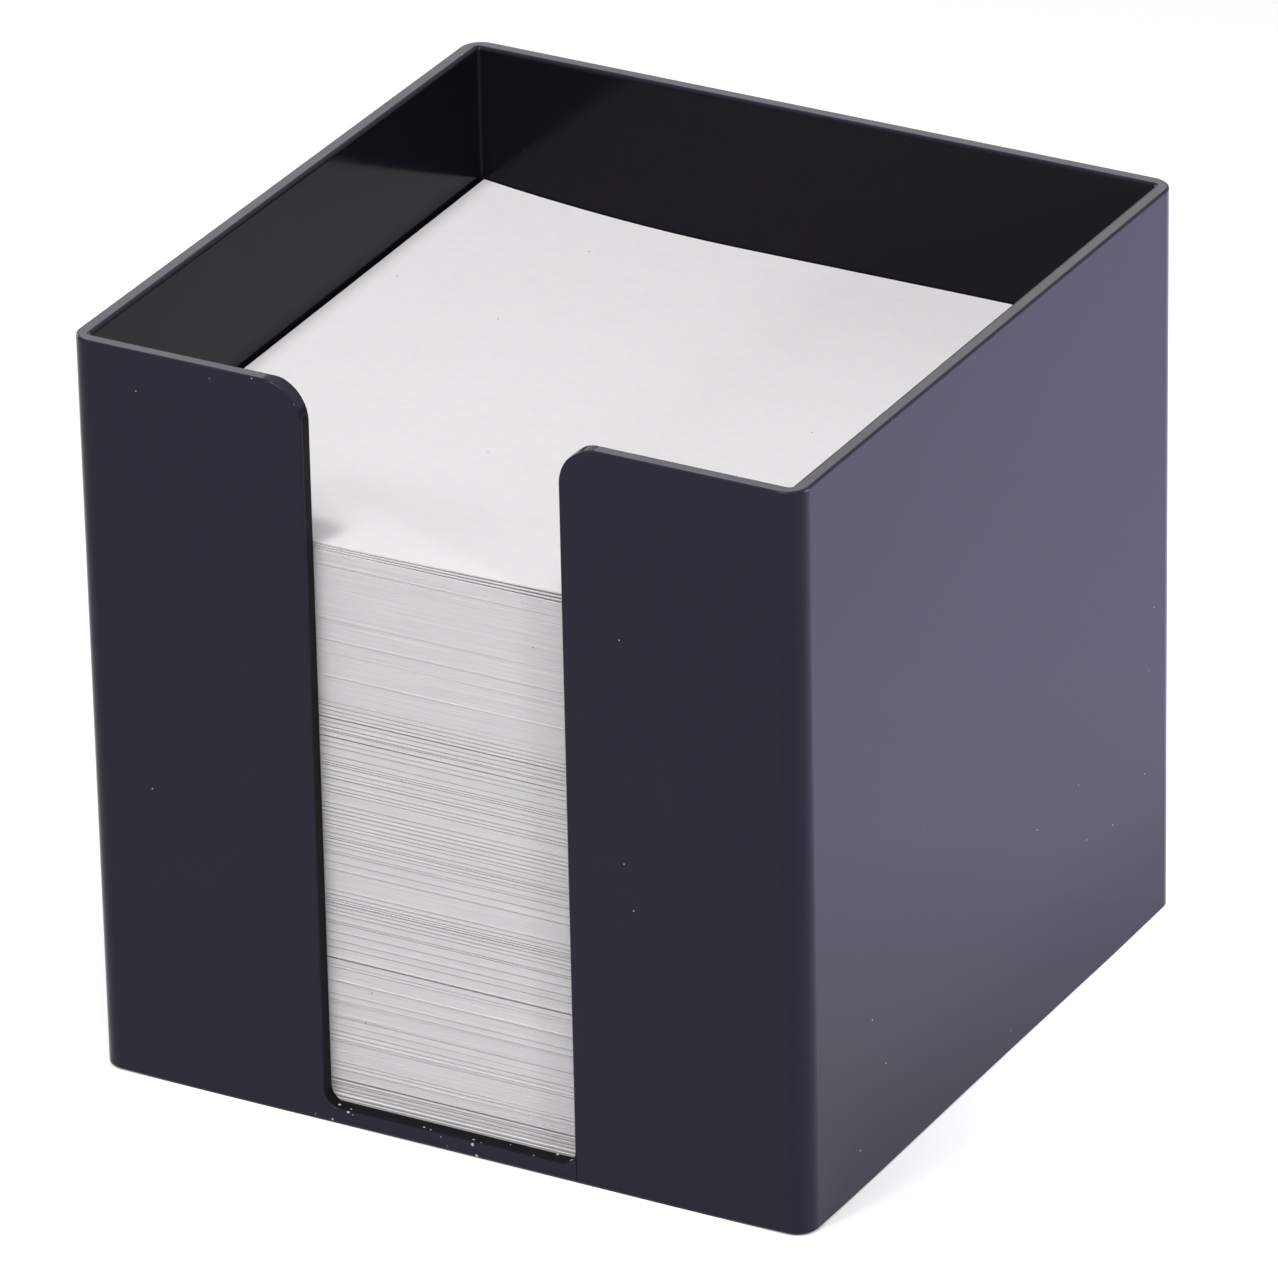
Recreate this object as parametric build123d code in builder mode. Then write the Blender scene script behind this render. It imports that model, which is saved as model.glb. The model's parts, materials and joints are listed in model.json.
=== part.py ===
from build123d import *
from math import atan, cos, degrees, sin, sqrt
import os

# A desk memo box: an open moulded box with a slot in its front wall, filled with loose note sheets.
# Millimetres, +Z up. The slot faces -Y, and the origin is at the middle of the base.

# Note sheets
sheet_width = 90.0
sheet_thickness = 0.1
air_film = 0.0021  # between two sheets that lie on each other
stack_setback = 0.1  # the stack stands this much nearer to the back wall
neat_jog = 0.05  # how far a sheet of a cleanly cut lift may stick out
ragged_jog = 0.12  # the same in a lift that was jogged carelessly
jog_turn = 2.4  # radians from one sheet's direction of jog to the next one's

# Loose sheets on top
loose_gap = 0.15  # at the front edge, under each loose sheet
loose_setback = 0.06  # of each loose sheet behind the one under it
curl_length = 36.0  # the left part of the sheet, which bends up
curl_rise = 2.1  # of the top sheet's left edge
slope_rise = 1.45  # of the top sheet, from its front edge to its back edge

# Box
box_height = 95.0
sheet_clearance = 0.4  # between the sheets and each wall, at the floor
rim_wall = 1.95
foot_wall = 1.85
outer_draft = 0.25  # how far each outer face leans out from base to rim
outer_corner_radius = 2.8
inner_corner_radius = 0.4
floor_thickness = 2.0
standing_ring = 4.0  # width of the flat ring that the box stands on
recess_depth = 0.6  # of the underside, inside that ring
slot_width = 33.5
slot_lip_radius = 5.0  # where the slot's sides run out into the rim
slot_foot_radius = 2.0
outer_edge_round = 0.3  # along the rim and round the slot
inner_rim_round = 0.5
base_chamfer = 0.3
cut_overrun = 2.0

# The lifts of sheets, from the floor up
lift_names = ("lower", "middle", "upper")
bundle_counts = (4, 8, 4)
sheet_counts = (46, 40, 49)  # in each bundle
lift_jogs = (neat_jog, ragged_jog, neat_jog)
loose_sheets = ("third_sheet", "second_sheet", "top_sheet")

sheet_pitch = sheet_thickness + air_film
base_side = sheet_width + 2 * (sheet_clearance + foot_wall)
rim_side = base_side + 2 * outer_draft
cavity_floor_side = base_side - 2 * foot_wall
cavity_rim_side = rim_side - 2 * rim_wall
cavity_height = box_height - floor_thickness
outer_lean = degrees(atan(outer_draft / box_height))
inner_draft = (cavity_rim_side - cavity_floor_side) / 2
inner_lean = degrees(atan(inner_draft / cavity_height))

os.makedirs("parts", exist_ok=True)


def keep(piece, name):
    piece.part.label = name
    export_step(piece.part, f"parts/{name}.step")


# The cavity: what the core of the mould fills, wider at the rim so that the box comes off it
with BuildPart() as cavity:
    with BuildSketch(Plane.XY.offset(floor_thickness)):
        Rectangle(cavity_floor_side, cavity_floor_side)
    extrude(amount=cavity_height, taper=-inner_lean)
    fillet(cavity.edges().group_by(Axis.Z)[1], radius=inner_corner_radius)

# The box: a drafted block less the cavity, slotted in front, with a recess under its floor
with BuildPart() as box:
    with BuildSketch():
        Rectangle(base_side, base_side)
    extrude(amount=box_height, taper=-outer_lean)
    fillet(box.edges().group_by(Axis.Z)[1], radius=outer_corner_radius)
    chamfer(box.faces().sort_by(Axis.Z)[0].edges(), length=base_chamfer)
    add(cavity.part, mode=Mode.SUBTRACT)
    fillet(box.faces().sort_by(Axis.Z)[-1].inner_wires()[0].edges(), radius=inner_rim_round)

    # The slot: round at the foot, and flared at the rim by a lip on each side
    with BuildSketch(Plane.XZ.offset(rim_side / 2 + cut_overrun)):
        with BuildLine():
            half = slot_width / 2
            lip_height = box_height - slot_lip_radius
            lip_reach = half + slot_lip_radius
            foot = Line((0, floor_thickness), (half - slot_foot_radius, floor_thickness))
            foot_arc = JernArc(foot @ 1, foot % 1, slot_foot_radius, 90)
            side = Line(foot_arc @ 1, (half, lip_height))
            lip_arc = JernArc(side @ 1, side % 1, slot_lip_radius, -90)
            Polyline(lip_arc @ 1, (lip_reach, box_height + cut_overrun), (0, box_height + cut_overrun))
            mirror(about=Plane.YZ)
        make_face()
    extrude(amount=-(cut_overrun + outer_draft + foot_wall + sheet_clearance), mode=Mode.SUBTRACT)
    rim = box.faces().sort_by(Axis.Z)[-1]
    fillet(rim.edges().sort_by(Axis.Y)[0:2], radius=outer_edge_round)

    with BuildSketch(Plane.XY):
        RectangleRounded(base_side - 2 * standing_ring, base_side - 2 * standing_ring, outer_corner_radius)
    extrude(amount=recess_depth, mode=Mode.SUBTRACT)
keep(box, "box")

# The lifts: bundles of flat sheets, each sheet jogged a little out of line with the one under it
level = floor_thickness
sheet_number = 0
for lift, bundles, sheets, jog in zip(lift_names, bundle_counts, sheet_counts, lift_jogs):
    for bundle_number in range(1, bundles + 1):
        places = []
        for _ in range(sheets):
            turn = sheet_number * jog_turn
            places.append((jog * sin(turn), stack_setback + jog * cos(turn * sqrt(2)), level))
            level += sheet_pitch
            sheet_number += 1
        with BuildPart() as bundle:
            with Locations(*places):
                Box(sheet_width, sheet_width, sheet_thickness, align=(Align.CENTER, Align.CENTER, Align.MIN))
        keep(bundle, f"{lift}_bundle_{bundle_number}")

# The loose sheets: each slopes up to the back and curls up along its left edge, the top one most
for order, name in enumerate(loose_sheets, start=1):
    level += loose_gap
    loose_share = order / len(loose_sheets)
    curl_radius = curl_length**2 / (2 * curl_rise * loose_share)
    slope = slope_rise * loose_share / sheet_width
    front = stack_setback + loose_setback * order - sheet_width / 2
    right = sheet_width / 2
    with BuildPart() as loose_sheet:
        with BuildSketch(Plane.XZ.offset(-front)):
            with BuildLine():
                flat = Line((right, level), (curl_length - right, level))
                JernArc(flat @ 1, flat % 1, curl_radius, -degrees(curl_length / curl_radius))
                offset(amount=sheet_thickness, side=Side.RIGHT)
            make_face()
        extrude(amount=sheet_width, dir=(0, cos(slope), sin(slope)))
    keep(loose_sheet, name)
    level += sheet_thickness
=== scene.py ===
import json
import math
import random

import bpy
import numpy as np
from mathutils import Matrix, Vector


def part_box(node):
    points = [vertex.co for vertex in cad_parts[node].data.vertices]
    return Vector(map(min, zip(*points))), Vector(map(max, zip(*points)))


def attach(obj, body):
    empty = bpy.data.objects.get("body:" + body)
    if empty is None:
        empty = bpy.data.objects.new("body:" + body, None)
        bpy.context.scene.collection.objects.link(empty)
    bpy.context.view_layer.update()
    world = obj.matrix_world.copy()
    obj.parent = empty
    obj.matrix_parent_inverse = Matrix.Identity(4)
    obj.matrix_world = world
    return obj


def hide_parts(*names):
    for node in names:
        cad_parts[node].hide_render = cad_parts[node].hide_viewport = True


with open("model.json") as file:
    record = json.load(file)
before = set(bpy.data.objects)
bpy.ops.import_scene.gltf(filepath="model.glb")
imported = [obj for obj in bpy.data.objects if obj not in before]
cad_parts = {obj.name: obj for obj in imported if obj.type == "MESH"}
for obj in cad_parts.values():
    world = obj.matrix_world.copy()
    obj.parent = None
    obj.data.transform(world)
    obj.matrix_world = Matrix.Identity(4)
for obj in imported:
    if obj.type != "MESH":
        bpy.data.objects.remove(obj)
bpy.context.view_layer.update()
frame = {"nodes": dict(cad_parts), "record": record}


# The box
# One moulding in blue-black polystyrene, polished by its mould, with an open slot in its front wall.
# The solid is kept as it is: the finish is what a clean, slightly dusty plastic box shows under soft light,
# with shade painted into the well and onto the slot's faces.
mm = 0.001


def linear(hex_colour):
    """The linear colour of an sRGB hex value such as #302A3D."""
    shares = [int(hex_colour[at:at + 2], 16) / 255 for at in (1, 3, 5)]
    return [s / 12.92 if s <= 0.04045 else ((s + 0.055) / 1.055) ** 2.4 for s in shares] + [1.0]


def add(tree, kind, inputs=None, **settings):
    """Adds a node with its settings. Each input is a value, or another node's output to link."""
    node = tree.nodes.new(kind)
    for name, value in settings.items():
        setattr(node, name, value)
    for name, value in (inputs or {}).items():
        if isinstance(value, bpy.types.NodeSocket):
            tree.links.new(value, node.inputs[name])
        else:
            node.inputs[name].default_value = value
    return node


def start_material(name):
    """An empty material, its node tree, and its Object coordinates in millimetres."""
    made = bpy.data.materials.new(name)
    made.use_nodes = True
    tree = made.node_tree
    tree.nodes.clear()
    place = add(tree, "ShaderNodeTexCoord").outputs["Object"]
    in_mm = add(tree, "ShaderNodeMapping", {"Vector": place, "Scale": (1 / mm, 1 / mm, 1 / mm)})
    return made, tree, in_mm.outputs["Vector"]


# Polished polystyrene: a deep colour under a soft mirror that shows the floor and the paper. Painted shade
# makes the well's walls near black, and the slot's own faces too, which are also dull. Static holds pale
# specks of dust, few on the faces and many at the foot of the slot, on the rim and in the back left corner
# of the well.
plastic_colour = "#262434"
plastic_cloud = "#292737"
# Painted shade: near black for the well's walls and for the slot's own faces
well_shade_colour = "#17151D"
slot_shade_colour = "#0A090D"
dust_colour = "#C4C2C8"
hairline_colour = "#05040A"
plastic_ior = 1.2  # less than polystyrene's usual 1.59, to mirror as faintly as the real faces do
least_roughness = 0.09
most_roughness = 0.14
slot_dulling = 0.45
ripple_strength = 0.2
ripple_depth = 0.002 * mm

# Sizes and places of the pattern, in millimetres
cloud_size = 22.0
polish_size = 5.0
polish_low_share = 0.3
polish_high_share = 0.7
front_wall_end = -44.5
front_wall_fade = 1.0
slot_face_start = -47.15
slot_face_fade = 0.2
slot_side = 16.8
slot_side_fade = 0.1
foot_side = 17.0
foot_side_fade = 4.0
base_band_top = 3.5
base_band_fade = 1.5
rim_band_start = 93.0
rim_band_rise = 1.5
well_side = 45.6
well_side_fade = 0.2
well_shade_start = 1.0
well_shade_end = 1.9
well_corner = 45.4
corner_core = 3.0
corner_reach = 9.0
hairline_place = 16.95
hairline_width = 0.12
dust_spacing = 1.1
dust_size = 0.1
foot_dust_size = 0.22
clean_share = 0.005
foot_share = 0.9
rim_share = 0.12
corner_share = 0.2

polystyrene, tree, place = start_material("polished_polystyrene")
axis = add(tree, "ShaderNodeSeparateXYZ", {"Vector": place})
aside = add(tree, "ShaderNodeMath", {0: axis.outputs["X"]}, operation="ABSOLUTE")
cloud = add(tree, "ShaderNodeTexNoise", {"Vector": place, "Scale": 1 / cloud_size, "Detail": 2.0})
body_colour = add(
    tree, "ShaderNodeMix",
    {0: cloud.outputs["Fac"], 6: linear(plastic_colour), 7: linear(plastic_cloud)}, data_type="RGBA",
)
polish = add(tree, "ShaderNodeTexNoise", {"Vector": place, "Scale": 1 / polish_size, "Detail": 3.0})
gloss = add(
    tree, "ShaderNodeMapRange",
    {
        "Value": polish.outputs["Fac"], "From Min": polish_low_share, "From Max": polish_high_share,
        "To Min": least_roughness, "To Max": most_roughness,
    },
)

# Where things are on the box: 1 in its place, or the share of dust there, and 0 beyond a short fade
near_front = add(
    tree, "ShaderNodeMapRange",
    {
        "Value": axis.outputs["Y"], "From Min": front_wall_end, "From Max": front_wall_end + front_wall_fade,
        "To Min": 1.0, "To Max": 0.0,
    },
)
behind_face = add(
    tree, "ShaderNodeMapRange",
    {
        "Value": axis.outputs["Y"], "From Min": slot_face_start,
        "From Max": slot_face_start + slot_face_fade,
    },
)
across_slot = add(
    tree, "ShaderNodeMapRange",
    {
        "Value": aside.outputs[0], "From Min": slot_side, "From Max": slot_side + slot_side_fade,
        "To Min": 1.0, "To Max": 0.0,
    },
)
across_foot = add(
    tree, "ShaderNodeMapRange",
    {
        "Value": aside.outputs[0], "From Min": foot_side, "From Max": foot_side + foot_side_fade,
        "To Min": 1.0, "To Max": 0.0,
    },
)
near_base = add(
    tree, "ShaderNodeMapRange",
    {
        "Value": axis.outputs["Z"], "From Min": base_band_top, "From Max": base_band_top + base_band_fade,
        "To Min": 1.0, "To Max": 0.0,
    },
)
at_rim = add(
    tree, "ShaderNodeMapRange",
    {
        "Value": axis.outputs["Z"], "From Min": rim_band_start, "From Max": rim_band_start + rim_band_rise,
        "To Min": 0.0, "To Max": rim_share,
    },
)
in_plan = add(tree, "ShaderNodeCombineXYZ", {"X": axis.outputs["X"], "Y": axis.outputs["Y"]})
off_corner = add(
    tree, "ShaderNodeVectorMath",
    {0: in_plan.outputs[0], 1: (-well_corner, well_corner, 0.0)}, operation="DISTANCE",
)
in_corner = add(
    tree, "ShaderNodeMapRange",
    {
        "Value": off_corner.outputs["Value"], "From Min": corner_core, "From Max": corner_reach,
        "To Min": corner_share, "To Max": 0.0,
    },
)

# The well's walls, inside the rim: painted shade, near black
farther = add(tree, "ShaderNodeMath", {0: axis.outputs["Y"]}, operation="ABSOLUTE")
farther = add(tree, "ShaderNodeMath", {0: farther.outputs[0], 1: aside.outputs[0]}, operation="MAXIMUM")
in_well = add(
    tree, "ShaderNodeMapRange",
    {
        "Value": farther.outputs[0], "From Min": well_side, "From Max": well_side + well_side_fade,
        "To Min": 1.0, "To Max": 0.0,
    },
)
above_floor = add(
    tree, "ShaderNodeMapRange",
    {"Value": axis.outputs["Z"], "From Min": well_shade_start, "From Max": well_shade_end},
)
in_well = add(
    tree, "ShaderNodeMath", {0: in_well.outputs[0], 1: above_floor.outputs[0]}, operation="MULTIPLY",
)
well_shaded_colour = add(
    tree, "ShaderNodeMix",
    {0: in_well.outputs[0], 6: body_colour.outputs[2], 7: linear(well_shade_colour)}, data_type="RGBA",
)
in_corner = add(
    tree, "ShaderNodeMath", {0: in_corner.outputs[0], 1: in_well.outputs[0]}, operation="MULTIPLY",
)

# The slot's faces, between the front face and the paper: painted shade, near black, and a rougher finish
in_front = add(
    tree, "ShaderNodeMath", {0: near_front.outputs[0], 1: behind_face.outputs[0]}, operation="MULTIPLY",
)
on_slot = add(
    tree, "ShaderNodeMath", {0: in_front.outputs[0], 1: across_slot.outputs[0]}, operation="MULTIPLY",
)
slot_shaded_colour = add(
    tree, "ShaderNodeMix",
    {0: on_slot.outputs[0], 6: well_shaded_colour.outputs[2], 7: linear(slot_shade_colour)}, data_type="RGBA",
)
dulled = add(tree, "ShaderNodeMath", {0: on_slot.outputs[0], 1: slot_dulling}, operation="MULTIPLY")
roughness = add(tree, "ShaderNodeMath", {0: gloss.outputs[0], 1: dulled.outputs[0]}, operation="ADD")

# Dust: a share of the cells of a fine pattern holds a speck
base_of_front = add(
    tree, "ShaderNodeMath", {0: near_front.outputs[0], 1: near_base.outputs[0]}, operation="MULTIPLY",
)
at_foot = add(
    tree, "ShaderNodeMath", {0: base_of_front.outputs[0], 1: across_foot.outputs[0]}, operation="MULTIPLY",
)
dust_share = add(tree, "ShaderNodeMath", {0: at_foot.outputs[0], 1: foot_share}, operation="MULTIPLY")
for other in (at_rim.outputs[0], in_corner.outputs[0], clean_share):
    dust_share = add(tree, "ShaderNodeMath", {0: dust_share.outputs[0], 1: other}, operation="MAXIMUM")
speck = add(tree, "ShaderNodeTexVoronoi", {"Vector": place, "Scale": 1 / dust_spacing})
pick = add(tree, "ShaderNodeSeparateColor", {"Color": speck.outputs["Color"]})
most_reach = add(
    tree, "ShaderNodeMapRange",
    {
        "Value": at_foot.outputs[0],
        "To Min": dust_size / dust_spacing, "To Max": foot_dust_size / dust_spacing,
    },
)
reach = add(
    tree, "ShaderNodeMath", {0: pick.outputs["Green"], 1: most_reach.outputs[0]}, operation="MULTIPLY",
)
in_speck = add(
    tree, "ShaderNodeMath", {0: speck.outputs["Distance"], 1: reach.outputs[0]}, operation="LESS_THAN",
)
picked = add(
    tree, "ShaderNodeMath", {0: pick.outputs["Red"], 1: dust_share.outputs[0]}, operation="LESS_THAN",
)
dust = add(tree, "ShaderNodeMath", {0: in_speck.outputs[0], 1: picked.outputs[0]}, operation="MULTIPLY")
dusty_colour = add(
    tree, "ShaderNodeMix",
    {0: dust.outputs[0], 6: slot_shaded_colour.outputs[2], 7: linear(dust_colour)}, data_type="RGBA",
)

# A dark hair line from the slot's right corner down to the base
off_hairline = add(tree, "ShaderNodeMath", {0: axis.outputs["X"], 1: hairline_place}, operation="SUBTRACT")
off_hairline = add(tree, "ShaderNodeMath", {0: off_hairline.outputs[0]}, operation="ABSOLUTE")
on_hairline = add(
    tree, "ShaderNodeMapRange",
    {
        "Value": off_hairline.outputs[0], "From Min": hairline_width / 2, "From Max": hairline_width,
        "To Min": 1.0, "To Max": 0.0,
    },
)
hairline_mask = add(
    tree, "ShaderNodeMath", {0: base_of_front.outputs[0], 1: on_hairline.outputs[0]}, operation="MULTIPLY",
)
hairline_mixed_colour = add(
    tree, "ShaderNodeMix",
    {0: hairline_mask.outputs[0], 6: dusty_colour.outputs[2], 7: linear(hairline_colour)}, data_type="RGBA",
)
ripple = add(
    tree, "ShaderNodeBump",
    {"Height": polish.outputs["Fac"], "Strength": ripple_strength, "Distance": ripple_depth},
)
finish = add(
    tree, "ShaderNodeBsdfPrincipled",
    {
        "Base Color": hairline_mixed_colour.outputs[2],
        "Roughness": roughness.outputs[0],
        "IOR": plastic_ior,
        "Normal": ripple.outputs["Normal"],
    },
)
add(tree, "ShaderNodeOutputMaterial", {"Surface": finish.outputs["BSDF"]})

box = frame["nodes"]["box"]
box.material_slots[0].material = polystyrene


# The lower lift of sheets
# About two hundred loose sheets of uncoated note paper, cut square and dropped in as one lift. Their front
# edges show through the slot: most are flush, and a few stand proud or sit back.

# Wove paper: matt and near white, with a faint cloudiness and a few dark specks in the sheet. Its cut edges
# differ a little in tone from sheet to sheet, and the fine lines this draws along the pile are partly painted
# highlight and shade, standing in for sheets that stand proud and sit back.
paper_colour = "#EDEAEC"
paper_cloud = "#E6E3E6"
edge_dark_tone_and_shade = "#E2E0E2"
speck_colour = "#B4B1B4"
paper_roughness = 0.9
paper_ior = 1.35
tooth_strength = 0.25
tooth_depth = 0.01 * mm

# Sizes of the pattern, in millimetres
speck_spacing = 5.5
speck_size = 0.14
formation_size = 1.6
fibre_size = 0.25
streak_length = 14.0
streak_height = 0.16
streak_low_share = 0.35
streak_high_share = 0.65

wove_paper, tree, place = start_material("wove_paper")
formation = add(tree, "ShaderNodeTexNoise", {"Vector": place, "Scale": 1 / formation_size, "Detail": 4.0})
sheet_colour = add(
    tree, "ShaderNodeMix",
    {0: formation.outputs["Fac"], 6: linear(paper_colour), 7: linear(paper_cloud)}, data_type="RGBA",
)
along = add(
    tree, "ShaderNodeMapping",
    {"Vector": place, "Scale": (1 / streak_length, 1 / streak_length, 1 / streak_height)},
)
streak = add(tree, "ShaderNodeTexNoise", {"Vector": along.outputs["Vector"], "Scale": 1.0, "Detail": 2.0})
streak_share = add(
    tree, "ShaderNodeMapRange",
    {"Value": streak.outputs["Fac"], "From Min": streak_low_share, "From Max": streak_high_share},
)
# Edge tone along the pile: random tone, and partly painted highlight and shade
edge_tone_and_shade = add(
    tree, "ShaderNodeMix",
    {0: streak_share.outputs["Result"], 6: linear(paper_colour), 7: linear(edge_dark_tone_and_shade)}, data_type="RGBA",
)
normal = add(tree, "ShaderNodeNewGeometry").outputs["True Normal"]
upright = add(tree, "ShaderNodeSeparateXYZ", {"Vector": normal})
flat_face = add(tree, "ShaderNodeMath", {0: upright.outputs["Z"]}, operation="ABSOLUTE")
face_colour = add(
    tree, "ShaderNodeMix",
    {0: flat_face.outputs[0], 6: edge_tone_and_shade.outputs[2], 7: sheet_colour.outputs[2]}, data_type="RGBA",
)
shive = add(tree, "ShaderNodeTexVoronoi", {"Vector": place, "Scale": 1 / speck_spacing})
on_speck = add(
    tree, "ShaderNodeMath",
    {0: shive.outputs["Distance"], 1: speck_size / speck_spacing}, operation="LESS_THAN",
)
specked_colour = add(
    tree, "ShaderNodeMix",
    {0: on_speck.outputs[0], 6: face_colour.outputs[2], 7: linear(speck_colour)}, data_type="RGBA",
)
fibre = add(tree, "ShaderNodeTexNoise", {"Vector": place, "Scale": 1 / fibre_size, "Detail": 3.0})
tooth = add(
    tree, "ShaderNodeBump",
    {"Height": fibre.outputs["Fac"], "Strength": tooth_strength, "Distance": tooth_depth},
)
finish = add(
    tree, "ShaderNodeBsdfPrincipled",
    {
        "Base Color": specked_colour.outputs[2],
        "Roughness": paper_roughness,
        "IOR": paper_ior,
        "Normal": tooth.outputs["Normal"],
    },
)
add(tree, "ShaderNodeOutputMaterial", {"Surface": finish.outputs["BSDF"]})

sheet_width = 90.0 * mm
sheet_thickness = 0.1 * mm
sheet_pitch = 0.1021 * mm
edge_cuts = 7
slot_half = 17.0 * mm
wave_turn = 7  # radians of an edge's wave across the slot
wave_start = 900  # radians for each millimetre of jog, so that every sheet's wave starts elsewhere


def sheet_pile(name, node, body, jogs):
    """A bundle of sheets in its solid's place. jogs gives, for each sheet, how far its front edge stands
    proud at the slot's left and right side, how far it is off to the side, and how wavy its edge is."""
    low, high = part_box(node)
    bpy.ops.object.select_all(action="DESELECT")
    bpy.ops.mesh.primitive_cube_add(
        size=sheet_width,
        location=((low.x + high.x) / 2, (low.y + high.y) / 2, low.z + sheet_thickness / 2),
    )
    pile = bpy.context.object
    pile.name = name
    bpy.ops.object.mode_set(mode="EDIT")
    bpy.ops.mesh.select_all(action="SELECT")
    bpy.ops.transform.resize(value=(1, 1, sheet_thickness / sheet_width))
    bpy.ops.mesh.select_all(action="DESELECT")
    bpy.ops.object.mode_set(mode="OBJECT")
    for edge in pile.data.edges:
        one, two = (pile.data.vertices[v].co for v in edge.vertices)
        edge.select = abs(one.x - two.x) > sheet_width / 2
    bpy.ops.object.mode_set(mode="EDIT")
    bpy.ops.mesh.select_mode(type="EDGE")
    bpy.ops.mesh.subdivide(number_cuts=edge_cuts)
    bpy.ops.object.mode_set(mode="OBJECT")
    bpy.ops.object.transform_apply(location=True, rotation=True, scale=True)
    copies = pile.modifiers.new("sheets", "ARRAY")
    copies.count = len(jogs)
    copies.use_relative_offset = False
    copies.use_constant_offset = True
    copies.constant_offset_displace = (0, 0, sheet_pitch)
    bpy.ops.object.modifier_apply(modifier=copies.name)

    places = np.zeros(len(pile.data.vertices) * 3, np.float32)
    pile.data.vertices.foreach_get("co", places)
    places = places.reshape(len(jogs), -1, 3)
    for sheet, (left, right, off_side, wave) in zip(places, jogs):
        across = (sheet[:, 0] / slot_half + 1) / 2
        wavy = wave * np.sin(wave_turn * across + wave_start * left / mm)
        sheet[:, 1] -= left + (right - left) * across + wavy
        sheet[:, 0] += off_side
    pile.data.vertices.foreach_set("co", places.ravel())
    pile.data.update()
    pile.data.materials.append(wove_paper)
    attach(pile, body)
    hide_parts(node)


def sheets_in(node):
    """How many sheets a bundle's solid holds."""
    low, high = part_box(node)
    return round((high.z - low.z - sheet_thickness) / sheet_pitch) + 1


least_pair_gap = 2
ease_shares = (0.3, 1.0)
reach_shares = (0.4, 1.0)


def jog_lift(lift, seed, fine, sheets_between, proud, set_back, events):
    """Draws the jogs of a whole lift: the small jog that every sheet has, now and then a sheet that stands
    proud over one that sits back, and the marked sheets that the eye picks out. Each mark is a height above
    the base in millimetres, a count of sheets, and their jog at the slot's left and right in millimetres."""
    chance = random.Random(seed)
    nodes = frame["record"]["behaviour"]["bodies"][lift + "_lift"]
    counts = [sheets_in(node) for node in nodes]
    jogs = []
    next_pair = chance.expovariate(1 / sheets_between)
    for at in range(sum(counts)):
        left, right = chance.gauss(0, fine), chance.gauss(0, fine)
        jogs.append([left, right, chance.gauss(0, fine), chance.uniform(0, fine)])
        if at >= next_pair and at > 0:
            next_pair = at + least_pair_gap + chance.expovariate(1 / sheets_between)
            ease = chance.uniform(*ease_shares)
            for one, reach in ((jogs[at], proud), (jogs[at - 1], -set_back)):
                one[0] = chance.uniform(*reach_shares) * reach
                one[1] = one[0] * ease
    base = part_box(nodes[0])[0].z
    for height, count, left, right in events:
        first = round((height * mm - base) / sheet_pitch)
        for at in range(max(first, 0), min(first + count, sum(counts))):
            jogs[at][0:2] = [left * mm, right * mm]
    done = 0
    for number, (node, count) in enumerate(zip(nodes, counts), start=1):
        sheet_pile(f"sheets_{lift}_{number}", node, lift + "_lift", jogs[done:done + count])
        done += count


lower_marks = (
    (2.0, 3, 0.3, 0.3), (2.4, 1, -0.2, -0.2), (2.5, 2, 0.2, 0.15), (3.3, 1, -0.25, -0.2),
    (3.8, 1, -0.3, -0.25), (4.4, 2, -0.3, -0.3), (6.1, 1, 0.08, 0.05), (10.1, 1, 0.09, 0.09),
    (13.2, 1, 0.07, 0.03), (15.0, 1, 0.09, 0.05), (17.7, 1, 0.1, 0.1), (20.5, 2, -0.3, -0.3),
)
jog_lift(
    "lower", seed=11, fine=0.008 * mm, sheets_between=8,
    proud=0.05 * mm, set_back=0.13 * mm, events=lower_marks,
)


# The middle lift of sheets
# The same paper, knocked together carelessly before it was dropped in. Every few sheets one stands proud over
# one that sits back, most on the left, and the pair draws a pale line with a shadow under it.
middle_marks = (
    (20.8, 1, 0.08, 0.08), (25.2, 1, -0.3, -0.25), (28.0, 1, 0.08, 0.05), (36.2, 1, -0.3, -0.25),
    (44.4, 1, 0.08, 0.05), (49.5, 1, -0.35, -0.25), (50.2, 1, -0.4, -0.3), (50.8, 1, -0.4, -0.25),
    (51.4, 1, -0.4, -0.2), (51.9, 1, -0.4, -0.2), (52.4, 1, -0.35, -0.15), (52.9, 1, -0.3, -0.1),
)
jog_lift(
    "middle", seed=23, fine=0.006 * mm, sheets_between=5,
    proud=0.05 * mm, set_back=0.3 * mm, events=middle_marks,
)


# The upper lift of sheets
# The same paper, neatly cut, in a lift that lies almost flush. Two sheets near its foot sit back on the left,
# and one sheet higher up has slipped forward.
upper_marks = ((53.5, 1, -0.25, -0.05), (54.1, 1, -0.15, -0.03), (57.4, 1, 0.06, 0.05))
jog_lift(
    "upper", seed=37, fine=0.008 * mm, sheets_between=60,
    proud=0.04 * mm, set_back=0.05 * mm, events=upper_marks,
)


# The loose sheets on top
# Single sheets that have curled up along the left side and to the back, as paper does when it dries, the top
# one most. Their front edges nearly touch on the left and fan out to the right, with thin dark gaps.
curl_start = -9.0 * mm
curl_length = 36.0 * mm
curl_rise = 2.1 * mm
slope_rise = 1.45 * mm
fan_gap = 0.21 * mm
fan_start = -17.0 * mm
fan_end = 20.0 * mm
back_fan_share = 0.2
touch_gap = 0.06 * mm
cockled_thickness = 0.17 * mm
sheet_cuts = 23
smooth_angle = 40
loose_names = ("third_sheet", "second_sheet", "top_sheet")
lift_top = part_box(frame["record"]["behaviour"]["bodies"]["upper_lift"][-1])[1].z

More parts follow.
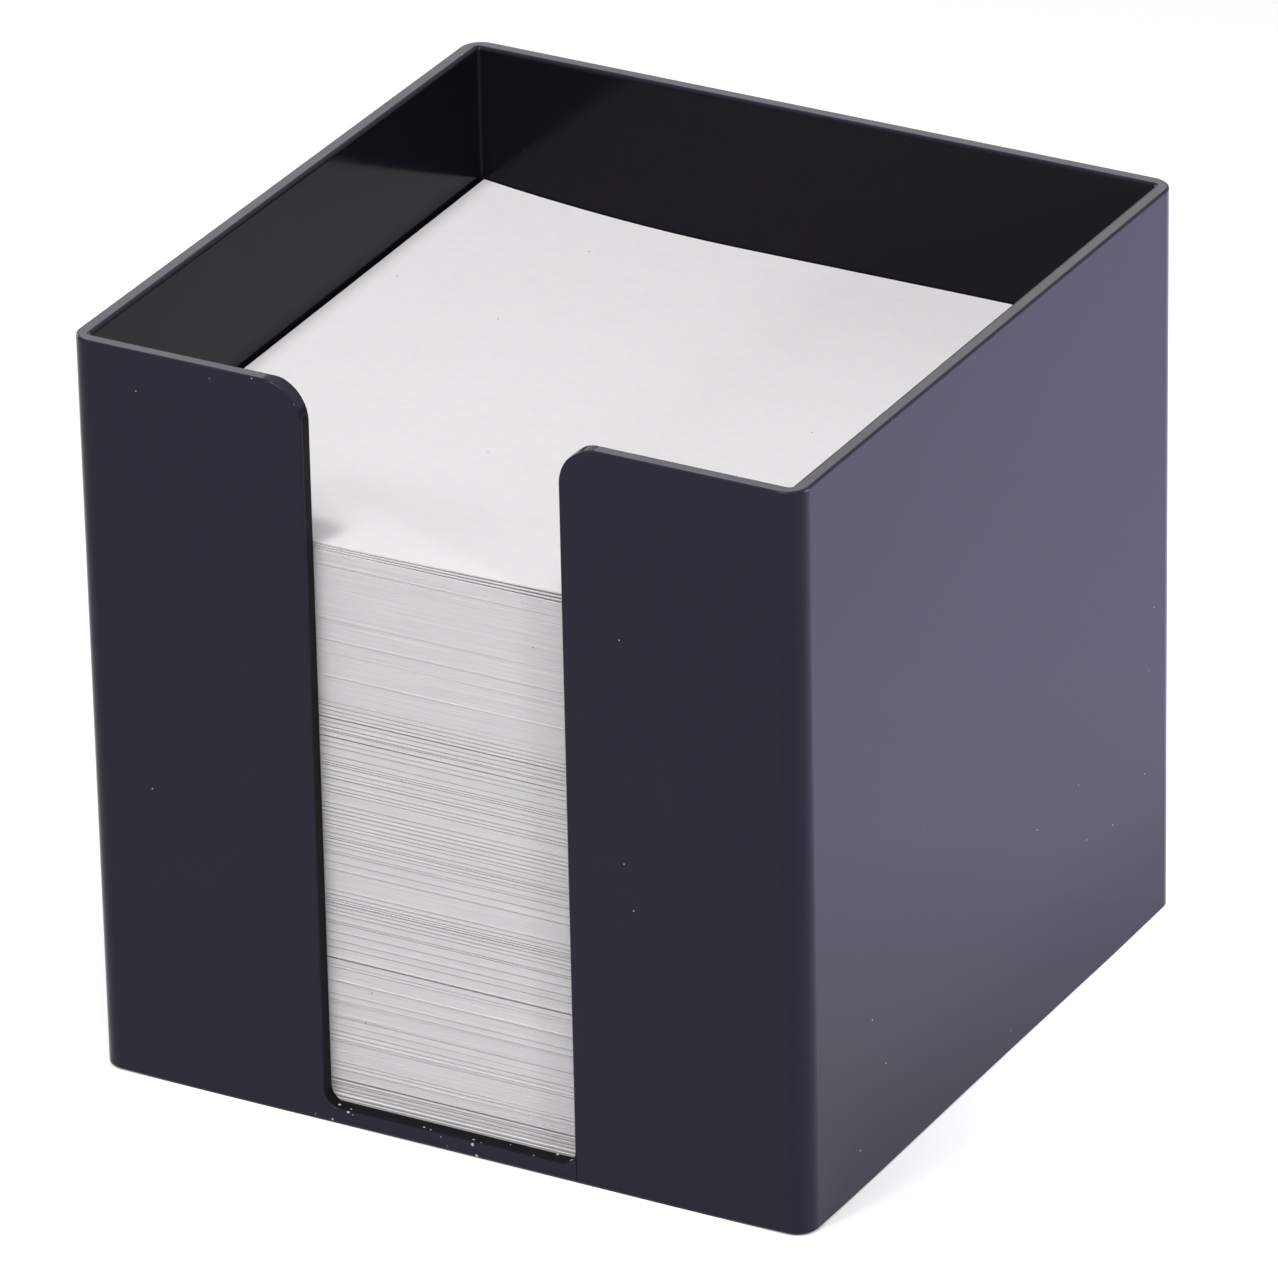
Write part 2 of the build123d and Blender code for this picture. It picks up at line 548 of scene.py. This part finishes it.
for order, name in enumerate(loose_names, start=1):
    curl_share = order / len(loose_names)
    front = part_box(name)[0].y
    level = lift_top + (order - 1) * cockled_thickness + order * touch_gap
    bpy.ops.object.select_all(action="DESELECT")
    bpy.ops.mesh.primitive_plane_add(size=sheet_width, location=(0, front + sheet_width / 2, level))
    loose = bpy.context.object
    loose.name = "loose_" + name
    bpy.ops.object.mode_set(mode="EDIT")
    bpy.ops.mesh.select_all(action="SELECT")
    bpy.ops.mesh.subdivide(number_cuts=sheet_cuts)
    bpy.ops.object.mode_set(mode="OBJECT")
    bpy.ops.object.transform_apply(location=True, rotation=True, scale=True)
    for vertex in loose.data.vertices:
        back = (vertex.co.y - front) / sheet_width
        bend = max(0.0, curl_start - vertex.co.x) / curl_length
        open_share = min(max((vertex.co.x - fan_start) / (fan_end - fan_start), 0.0), 1.0)
        fan = order * fan_gap * open_share * (1 - (1 - back_fan_share) * back)
        vertex.co.z += curl_share * (curl_rise * bend**2 + slope_rise * back) + fan
    wall = loose.modifiers.new("thickness", "SOLIDIFY")
    wall.thickness = cockled_thickness
    wall.offset = 1.0
    bpy.ops.object.modifier_apply(modifier=wall.name)
    bpy.ops.object.shade_smooth_by_angle(angle=math.radians(smooth_angle))
    loose.data.materials.append(wove_paper)
    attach(loose, name)
    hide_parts(name)


# The studio
# A white paper sweep under a near softbox high in front, with small lamps high on the left and to the right,
# a low card on the right, a large softbox low on the left, and a dim card behind that the rim mirrors.

# White sweep paper: matt and even, so that it shows only the box's shadow. It is lifted to white for the eye
# alone, and behind on the right, where the right wall mirrors it, it carries a painted pool of faintly violet
# light that glows for the eye and in reflections but lights nothing.
floor_size = 40.0
floor_drop = 0.02 * mm
sweep_light = "#F3F3F3"
sweep_dark = "#F1F1F2"
white_colour = "#FFFFFF"
painted_light_colour = "#D3CAFF"
white_lift = 0.36
painted_light_lift = 1.75

# Sizes and places of the pattern, in millimetres
grain_size = 40.0
bright_place = (149.0, 144.0, 0.0)
bright_core = 73.0
bright_reach = 234.0

bpy.ops.object.select_all(action="DESELECT")
bpy.ops.mesh.primitive_plane_add(size=floor_size, location=(0, 0, -floor_drop))
floor = bpy.context.object
floor.name = "studio_floor"
sweep, tree, place = start_material("white_sweep_paper")
grain = add(tree, "ShaderNodeTexNoise", {"Vector": place, "Scale": 1 / grain_size})
sweep_colour = add(
    tree, "ShaderNodeMix",
    {0: grain.outputs["Fac"], 6: linear(sweep_light), 7: linear(sweep_dark)}, data_type="RGBA",
)
matt = add(tree, "ShaderNodeBsdfDiffuse", {"Color": sweep_colour.outputs[2]})


def seen_rays(tree):
    """1 for rays that show the studio to the eye, straight on or in a reflection, and 0 for its light."""
    path = add(tree, "ShaderNodeLightPath")
    seen = add(
        tree, "ShaderNodeMath",
        {0: path.outputs["Is Camera Ray"], 1: path.outputs["Is Glossy Ray"]}, operation="MAXIMUM",
    )
    seen = add(
        tree, "ShaderNodeMath",
        {0: seen.outputs[0], 1: path.outputs["Is Transmission Ray"]}, operation="MAXIMUM",
    )
    return seen.outputs[0]


# The painted pool of light: strongest round bright_place, fading out by bright_reach
off_bright = add(tree, "ShaderNodeVectorMath", {0: place, 1: bright_place}, operation="DISTANCE")
painted_light_share = add(
    tree, "ShaderNodeMapRange",
    {
        "Value": off_bright.outputs["Value"], "From Min": bright_core, "From Max": bright_reach,
        "To Min": 1.0, "To Max": 0.0,
    },
    interpolation_type="SMOOTHSTEP",
)
lift_here = add(
    tree, "ShaderNodeMapRange",
    {"Value": painted_light_share.outputs[0], "To Min": white_lift, "To Max": painted_light_lift},
)
seen_lift = add(
    tree, "ShaderNodeMath", {0: seen_rays(tree), 1: lift_here.outputs[0]}, operation="MULTIPLY",
)
lift_colour = add(
    tree, "ShaderNodeMix",
    {0: painted_light_share.outputs[0], 6: linear(white_colour), 7: linear(painted_light_colour)}, data_type="RGBA",
)
glow = add(
    tree, "ShaderNodeEmission", {"Color": lift_colour.outputs[2], "Strength": seen_lift.outputs[0]},
)
lifted = add(tree, "ShaderNodeAddShader", {0: matt.outputs["BSDF"], 1: glow.outputs["Emission"]})
add(tree, "ShaderNodeOutputMaterial", {"Surface": lifted.outputs["Shader"]})
floor.data.materials.append(sweep)

# Round the sweep: white to the eye, and a weak even fill as light
fill_strength = 0.1
seen_strength = 1.0
world = bpy.data.worlds.new("studio_white")
bpy.context.scene.world = world
world.use_nodes = True
tree = world.node_tree
tree.nodes.clear()
fill = add(tree, "ShaderNodeBackground", {"Color": linear(white_colour), "Strength": fill_strength})
white = add(tree, "ShaderNodeBackground", {"Color": linear(white_colour), "Strength": seen_strength})
sky = add(tree, "ShaderNodeMixShader", {0: seen_rays(tree), 1: fill.outputs[0], 2: white.outputs[0]})
add(tree, "ShaderNodeOutputWorld", {"Surface": sky.outputs[0]})

# The lamps: sizes and distances in metres, all turned towards the upper half of the box
aim_height = 60 * mm
aim = Vector((0, 0, aim_height))
far_lamp = 2.5
near_lamp = 0.5


def softbox(name, azimuth, elevation, width, height, light, distance=far_lamp):
    """A lamp that gives the object this much light. Azimuth 0 is in front and 90 to the right."""
    turn, rise = math.radians(azimuth), math.radians(elevation)
    way = Vector((math.sin(turn) * math.cos(rise), -math.cos(turn) * math.cos(rise), math.sin(rise)))
    bpy.ops.object.light_add(type="AREA", location=aim + way * distance)
    lamp = bpy.context.object
    lamp.name = name
    lamp.rotation_euler = way.to_track_quat("Z", "Y").to_euler()
    lamp.data.shape = "RECTANGLE"
    lamp.data.size = width
    lamp.data.size_y = height
    lamp.data.energy = light * 4 * math.pi * distance**2


softbox("front_softbox", azimuth=8, elevation=66, width=0.3, height=0.3, light=0.52, distance=near_lamp)
softbox("front_lamp", azimuth=-17, elevation=72, width=0.25, height=0.25, light=0.2)
softbox("right_lamp", azimuth=68, elevation=22, width=0.25, height=0.25, light=0.15)
softbox("right_card", azimuth=118, elevation=-0.4, width=1.0, height=0.1, light=0.6)
softbox("back_softbox", azimuth=248, elevation=12.8, width=1.1, height=1.1, light=0.3)
softbox("rim_card", azimuth=209.6, elevation=25.5, width=0.5, height=0.3, light=0.013)

# The camera: far off with a long lens, above and to the right of the slot, and turned a degree off level
camera_place = Vector((640.528, -1149.538, 698.732)) * mm
camera_right = Vector((0.87793463, 0.4784252, -0.01844233))
camera_up = Vector((-0.19825528, 0.39833059, 0.89555993))
camera_back = camera_right.cross(camera_up)
camera_turn = Matrix((camera_right, camera_up, camera_back)).transposed().to_4x4()
bpy.ops.object.camera_add()
camera = bpy.context.object
camera.name = "photo_camera"
camera.matrix_world = Matrix.Translation(camera_place) @ camera_turn
camera.data.sensor_width = 36.0
camera.data.lens = 351.26
camera.data.clip_start = 0.05
camera.data.clip_end = 100.0
bpy.context.scene.camera = camera
bpy.context.scene.view_settings.view_transform = "Standard"
